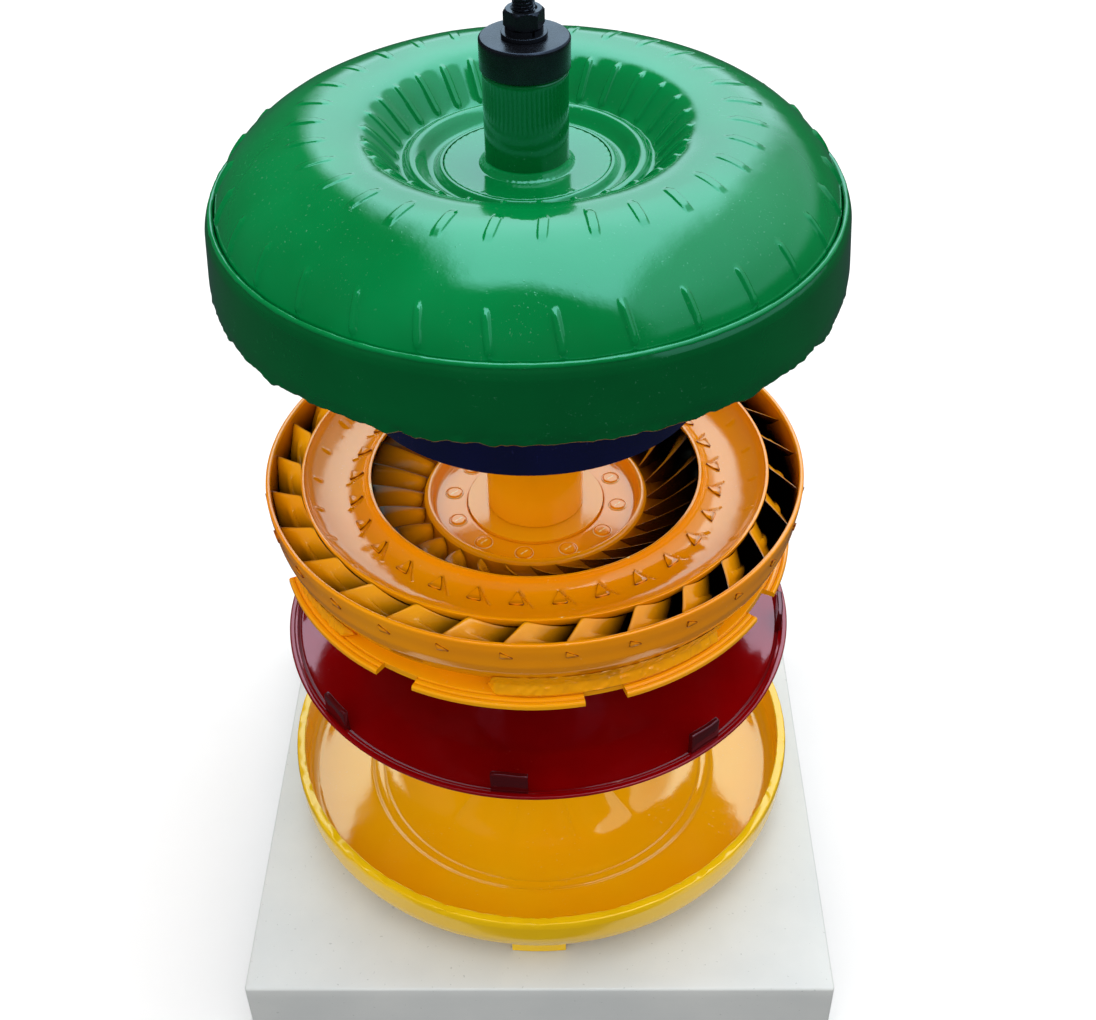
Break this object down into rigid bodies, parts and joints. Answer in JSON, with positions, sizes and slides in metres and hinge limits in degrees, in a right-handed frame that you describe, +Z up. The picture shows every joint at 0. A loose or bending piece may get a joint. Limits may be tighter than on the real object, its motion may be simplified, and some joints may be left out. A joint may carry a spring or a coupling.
{
  "type": "torque converter",
  "caption": "Torque converter shown apart on a threaded rod: pump, stator with one-way clutch, turbine, lock-up piston and front cover above a square plinth.",
  "frame": {"origin": "middle of the plinth's underside, where the rubber feet stand on the ground", "axes": "+Z up the threaded rod, the axis every wheel turns about; +X to the right and -Y to the front of the plinth"},
  "size_m": [0.324, 0.324, 0.547],
  "materials": {
    "green_enamel": "thick glossy enamel over stamped steel",
    "orange_enamel": "glossy enamel with runs over stamped steel",
    "yellow_enamel": "glossy enamel over stamped steel",
    "red_enamel": "clear candy enamel over stamped steel",
    "navy_enamel": "glossy enamel over cast aluminium",
    "white_lacquer": "satin powder coat on folded sheet",
    "board": "plain fibreboard",
    "rubber": "moulded rubber",
    "zinc_steel": "bright zinc plate",
    "black_oxide": "black oxide, lightly oiled",
    "turned_steel": "turned bright steel",
    "bearing_steel": "ground hardened steel",
    "spring_steel": "blued spring steel",
    "bronze": "turned bearing bronze",
    "friction_paper": "bonded paper friction lining"
  },
  "bodies": {
    "root": {"plinth_case": "white_lacquer", "plinth_base_board": "board", "rubber_feet": "rubber", "foot_screws": "zinc_steel", "threaded_rod": "black_oxide", "rod_base_washer": "zinc_steel", "rod_base_nut": "zinc_steel", "cover_spacer": "turned_steel", "piston_spacer": "turned_steel", "turbine_spacer": "turned_steel", "stator_spacer_tube": "orange_enamel", "pump_spacer": "turned_steel", "clamp_collar": "black_oxide", "flat_washer": "black_oxide", "spring_washer": "black_oxide", "top_nut": "black_oxide", "turbine_bearing_lower_race": "bearing_steel", "clutch_inner_race": "bearing_steel", "stator_bearing_lower_race": "bearing_steel", "pump_bearing_lower_race": "bearing_steel"},
    "cover": {"front_cover": "yellow_enamel", "crank_pilot": "yellow_enamel", "pilot_bush": "bronze", "mounting_lugs": "yellow_enamel"},
    "piston_carrier": {"piston_support_bush": "turned_steel", "piston_seal_ring": "rubber"},
    "piston": {"lockup_piston": "red_enamel", "friction_lining": "friction_paper"},
    "turbine": {"turbine_shell": "orange_enamel", "turbine_blades": "orange_enamel", "turbine_core_ring": "orange_enamel", "turbine_hub": "orange_enamel", "hub_rivets": "orange_enamel", "turbine_bush": "bronze", "drive_ring": "orange_enamel", "drive_ring_welds": "orange_enamel", "turbine_bearing_upper_race": "bearing_steel"},
    "turbine_needle_cage": {"turbine_bearing_cage": "bronze", "turbine_bearing_needles": "bearing_steel"},
    "stator": {"stator_wheel": "navy_enamel", "clutch_outer_race": "bearing_steel", "clutch_rollers": "bearing_steel", "clutch_springs": "spring_steel", "clutch_lower_plate": "bearing_steel", "clutch_upper_plate": "bearing_steel", "clutch_snap_ring": "bearing_steel", "stator_bearing_upper_race": "bearing_steel"},
    "stator_needle_cage": {"stator_bearing_cage": "bronze", "stator_bearing_needles": "bearing_steel"},
    "pump": {"pump_shell": "green_enamel", "pump_skirt": "green_enamel", "pump_hub": "green_enamel", "pump_bush": "bronze", "pump_blades": "green_enamel", "pump_core_ring": "green_enamel", "pump_bearing_upper_race": "bearing_steel"},
    "pump_needle_cage": {"pump_bearing_cage": "bronze", "pump_bearing_needles": "bearing_steel"}
  },
  "joints": [
    {"name": "cover_spin", "type": "hinge", "parent": "root", "child": "cover", "pos_m": [0, 0, 0.0705], "axis": [0, 0, 1], "continuous": true},
    {"name": "piston_spin", "type": "hinge", "parent": "root", "child": "piston_carrier", "pos_m": [0, 0, 0.1835], "axis": [0, 0, 1], "continuous": true},
    {"name": "piston_slide", "type": "slide", "parent": "piston_carrier", "child": "piston", "axis": [0, 0, 1], "range_m": [0, 0.003]},
    {"name": "turbine_spin", "type": "hinge", "parent": "root", "child": "turbine", "pos_m": [0, 0, 0.2645], "axis": [0, 0, 1], "continuous": true},
    {"name": "turbine_bearing_spin", "type": "hinge", "parent": "root", "child": "turbine_needle_cage", "pos_m": [0, 0, 0.2405], "axis": [0, 0, 1], "continuous": true},
    {"name": "stator_spin", "type": "hinge", "parent": "root", "child": "stator", "pos_m": [0, 0, 0.3635], "axis": [0, 0, 1], "continuous": true},
    {"name": "stator_bearing_spin", "type": "hinge", "parent": "root", "child": "stator_needle_cage", "pos_m": [0, 0, 0.3505], "axis": [0, 0, 1], "continuous": true},
    {"name": "pump_spin", "type": "hinge", "parent": "root", "child": "pump", "pos_m": [0, 0, 0.472], "axis": [0, 0, 1], "continuous": true},
    {"name": "pump_bearing_spin", "type": "hinge", "parent": "root", "child": "pump_needle_cage", "pos_m": [0, 0, 0.457], "axis": [0, 0, 1], "continuous": true}
  ],
  "couplings": [
    {"joint": "turbine_bearing_spin", "follows": "turbine_spin", "ratio": 0.5},
    {"joint": "stator_bearing_spin", "follows": "stator_spin", "ratio": 0.5},
    {"joint": "pump_bearing_spin", "follows": "pump_spin", "ratio": 0.5}
  ]
}
